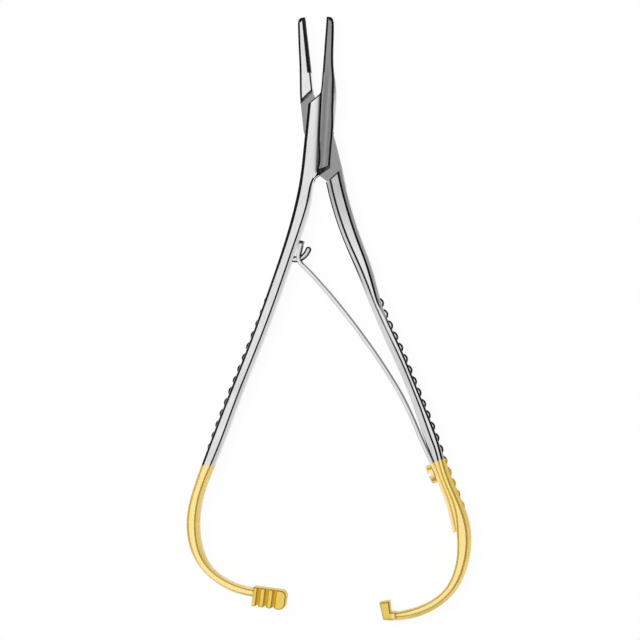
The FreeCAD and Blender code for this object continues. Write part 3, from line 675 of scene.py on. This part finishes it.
def arm_metal(name, grind_turn, gilding_line, ground_and_shade_places):
    """Polished steel above the gilding line and gold below it; grind_turn turns the grind along the arm"""
    line_height, line_climb = gilding_line
    material = bpy.data.materials.new(name)
    board = Board(material)
    place = board.position_mm()
    across, along, up = board.split(place)
    streaks, handling, tone, relief = ground_finish(board, place, grind_turn)
    # The piece's mask of painted shade, and of ground faces on the tongue
    ground_and_shade = ground_and_shade_places(board, across, along, up)
    steel = polished_steel(board, streaks, handling, tone, relief, ground_and_shade)
    gold = gold_film(board, across, streaks, tone, relief)
    ragged = board.noise(place, RAGGED_SCALE) * RAGGED_DEPTH
    depth = line_height + line_climb * across - along + ragged
    gilded = board.step(depth, -GILDING_EDGE, GILDING_EDGE)
    board.finish(board.node("ShaderNodeMixShader", None, {0: gilded, 1: steel, 2: gold}))
    return material


def dress(piece, material):
    """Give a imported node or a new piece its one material"""
    if piece.material_slots:
        piece.material_slots[0].material = material
    else:
        piece.data.materials.append(material)
    print(piece.name, "wears", material.name)


print("arm metal ready")

# %% Dress the arms, the pin, the screw, the horn and the spring
LEFT_GILDING = (-91.8, 0.0)
RIGHT_GILDING = (-103.8, 0.4)

box_arm_metal = arm_metal("box_arm_metal", 14.0, LEFT_GILDING, bars_painted_shade)
tongue_arm_metal = arm_metal("tongue_arm_metal", -18.0, RIGHT_GILDING, tongue_ground_and_shade)
spring_metal = arm_metal("spring_metal", -25.0, RIGHT_GILDING, spring_painted_shade)
horn_metal = arm_metal("horn_metal", 60.0, LEFT_GILDING, pin_painted_shade)
for node, metal in (
    ("box_arm", box_arm_metal),
    ("pivot_pin", box_arm_metal),
    ("tongue_arm", tongue_arm_metal),
    ("spring_screw", tongue_arm_metal),
    ("spring_guide_horn", horn_metal),
):
    dress(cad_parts[node], metal)
dress(leaf, spring_metal)

# %% [markdown]
# The jaw plates are sintered hard metal: dark, matt and a little speckled. The steel's material made darker
# would still look ground. Since the teeth are modelled, a dull dark metal with fine grain of its own is
# all that is needed.

# %% Hard metal for the jaw plates
HARD_METAL_DARK = (0.004, 0.004, 0.005, 1)
HARD_METAL_LIGHT = (0.02, 0.02, 0.022, 1)
GRAIN_SCALE = 9.0
PATCH_SCALE = 0.8
GRAIN_SHARE = 0.6
GRAIN_STRENGTH = 0.2
HARD_METAL_ROUGHNESS = 0.32
ROUGHER_BY_GRAIN = 0.2


def hard_metal(name):
    """Dark sintered metal with fine grain"""
    material = bpy.data.materials.new(name)
    board = Board(material)
    place = board.position_mm()
    grain = board.noise(place, GRAIN_SCALE, detail=3.0)
    patches = board.noise(place, PATCH_SCALE)
    tone = grain * GRAIN_SHARE + patches * (1 - GRAIN_SHARE)
    shader = board.node(
        "ShaderNodeBsdfPrincipled",
        None,
        {
            "Base Color": board.mix(tone, HARD_METAL_DARK, HARD_METAL_LIGHT),
            "Metallic": 0.6,
            "Roughness": HARD_METAL_ROUGHNESS + grain * ROUGHER_BY_GRAIN,
            "Specular IOR Level": 0.2,
            "Normal": board.relief(GRAIN_STRENGTH, grain),
        },
    )
    board.finish(shader)
    return material


plate_metal = hard_metal("plate_metal")
dress(box_plate, plate_metal)
dress(tongue_plate, plate_metal)

# %% [markdown]
# ## Floor and light
#
# Polished metal has hardly any colour of its own: it shows what stands around it. A photographer hangs wide
# soft boxes over such an instrument and leaves the room dark beyond them. Flat faces then mirror the soft
# box and look white, while a bevel mirrors the dark room and draws a black line along every edge.
#
# Large lamps would work too, but the world can hold the whole room. It has a panel on the left, a brighter
# one overhead, a dimmer gap to the right of that one, and a side panel with two brighter strips that show
# on the slopes facing it. A dark band runs round the room, and it is pale again at the very horizon, where
# the table ends. Each panel is a band of tilt, in degrees from straight up.

# %% Panels of the room
LEFT_PANEL = (-66, -56, -32, -22)
LEFT_BRIGHTNESS = 0.97
MAIN_PANEL = (-32, -22, 6, 14)
MAIN_BRIGHTNESS = 1.12
DIM_GAP = (6, 14, 24, 28)
GAP_BRIGHTNESS = 0.42
SIDE_PANEL = (24, 28, 44, 58)
SIDE_BRIGHTNESS = 0.5
STRIPS_START = (30, 35)
NEAR_STRIP_END = (-13, -9)
NEAR_STRIP_BRIGHTNESS = 0.55
MIDDLE_STRIP = (-6, -3, 3, 6)
MIDDLE_STRIP_BRIGHTNESS = 0.45
PANEL_LENGTH = (-62, -46, 46, 62)
print("panels reach from", LEFT_PANEL[0], "to", SIDE_PANEL[-1], "degrees")

# %% The room round the table
DARK_ROOM = 0.008
HORIZON_HEIGHT = 0.05
HORIZON_BRIGHTNESS = 0.75


def side_strips(board, tilt_right, tilt_forward):
    """The side panel's two brighter strips, one near the viewer and one across its middle"""
    near = (1 - board.step(tilt_forward, *NEAR_STRIP_END)) * NEAR_STRIP_BRIGHTNESS
    middle = board.band(tilt_forward, *MIDDLE_STRIP) * MIDDLE_STRIP_BRIGHTNESS
    return board.step(tilt_right, *STRIPS_START) * (near + middle)


def room_light():
    """The world: brightness by the direction that a ray leaves in"""
    world = bpy.data.worlds.new("studio_room")
    bpy.context.scene.world = world
    board = Board(world)
    direction = board.node("ShaderNodeTexCoord", out="Generated")
    right, forward, up = board.split(direction)
    tilt_right = board.tilt(right, up)
    tilt_forward = board.tilt(forward, up)
    left_panel = board.band(tilt_right, *LEFT_PANEL) * LEFT_BRIGHTNESS
    main_panel = board.band(tilt_right, *MAIN_PANEL) * MAIN_BRIGHTNESS
    gap = board.band(tilt_right, *DIM_GAP) * GAP_BRIGHTNESS
    strips = side_strips(board, tilt_right, tilt_forward)
    side_panel = board.band(tilt_right, *SIDE_PANEL) * (SIDE_BRIGHTNESS + strips)
    overhead = (left_panel + main_panel + gap + side_panel) * board.band(tilt_forward, *PANEL_LENGTH)
    horizon = (1 - board.step(up, 0.0, HORIZON_HEIGHT)) * HORIZON_BRIGHTNESS
    brightness = DARK_ROOM + overhead + horizon
    background = board.node("ShaderNodeBackground", None, {"Color": (1, 1, 1, 1), "Strength": brightness})
    board.node("ShaderNodeOutputWorld", None, {"Surface": background})
    print("room lit")


room_light()

# %% [markdown]
# The table is plain white. White paint would need so much light that the metal burns out, so what the
# camera and the reflections see of it is nearly all a glow of its own. The small share of lit paint keeps
# the instrument's soft shadow.

# %% The pale table
FLOOR_SIZE = 8.0
FLOOR_DROP = 0.02 * MM
FLOOR_PAINT = (0.9, 0.9, 0.9, 1)
GLOW_SHARE = 0.95


def pale_floor():
    """A wide plain floor just under the instrument, pale to the camera and keeping the soft shadow"""
    start_fresh()
    bpy.ops.mesh.primitive_plane_add(size=FLOOR_SIZE, location=(0, 0, -FLOOR_DROP))
    floor = bpy.context.object
    floor.name = "pale_floor"
    material = bpy.data.materials.new("floor_paint")
    board = Board(material)
    lit = board.node("ShaderNodeBsdfDiffuse", None, {"Color": FLOOR_PAINT})
    glow = board.node("ShaderNodeEmission", None, {"Color": (1, 1, 1, 1), "Strength": 1.0})
    seen = board.node("ShaderNodeLightPath", out="Is Camera Ray")
    mirrored = board.node("ShaderNodeLightPath", out="Is Glossy Ray")
    through = board.node("ShaderNodeLightPath", out="Is Transmission Ray")
    share = (seen + mirrored + through) * GLOW_SHARE
    board.finish(board.node("ShaderNodeMixShader", None, {0: share, 1: lit, 2: glow}))
    floor.data.materials.append(material)
    print("floor", FLOOR_SIZE, "m wide")


pale_floor()

# %% [markdown]
# One soft box stands up and to the left for the shadow. The metal doesn't mirror it, because the room's
# panels already are what the metal shows.

# %% One soft lamp for the shadow
LAMP_PLACE = (-0.22, 0.12, 0.6)
LAMP_SIZE = 0.5
LAMP_POWER = 2.4

bpy.ops.object.light_add(type="AREA", location=LAMP_PLACE)
lamp = bpy.context.object
lamp.name = "soft_box"
lamp.data.shape = "SQUARE"
lamp.data.size = LAMP_SIZE
lamp.data.energy = LAMP_POWER
lamp.rotation_mode = "QUATERNION"
lamp.rotation_quaternion = Vector(LAMP_PLACE).to_track_quat("Z", "Y")
lamp.visible_glossy = False
print("soft box", LAMP_SIZE, "m wide")

# %% [markdown]
# ## Camera
#
# The photograph is taken from straight above with a long lens, leaning a few degrees to the right, so the
# instrument's own axes run nearly straight up and across the picture. The picture's scale and the place of
# the pivot in it say where the camera looks and how wide it sees.

# %% Set the camera
PICTURE_PIXELS = 640
PIXEL_SIZE = 0.28 * MM
PIVOT_PIXEL = (318.5, 138.0)
CAMERA_DISTANCE = 0.9
CAMERA_LEAN = math.radians(5.0)
SENSOR_WIDTH = 36.0

picture_right = (PICTURE_PIXELS / 2 - PIVOT_PIXEL[0]) * PIXEL_SIZE
picture_up = (PIVOT_PIXEL[1] - PICTURE_PIXELS / 2) * PIXEL_SIZE
target = Vector((picture_right, picture_up, MID_HEIGHT))
bpy.ops.object.camera_add()
camera = bpy.context.object
camera.name = "camera"
camera.location = target + CAMERA_DISTANCE * Vector((math.sin(CAMERA_LEAN), 0, math.cos(CAMERA_LEAN)))
camera.rotation_euler = (0, CAMERA_LEAN, 0)
camera.data.sensor_width = SENSOR_WIDTH
camera.data.lens = SENSOR_WIDTH * CAMERA_DISTANCE / (PICTURE_PIXELS * PIXEL_SIZE)
camera.data.clip_start = 0.01
camera.data.clip_end = 20.0
bpy.context.scene.camera = camera
bpy.context.scene.view_settings.view_transform = "Standard"
print("lens", round(camera.data.lens, 1), "mm")
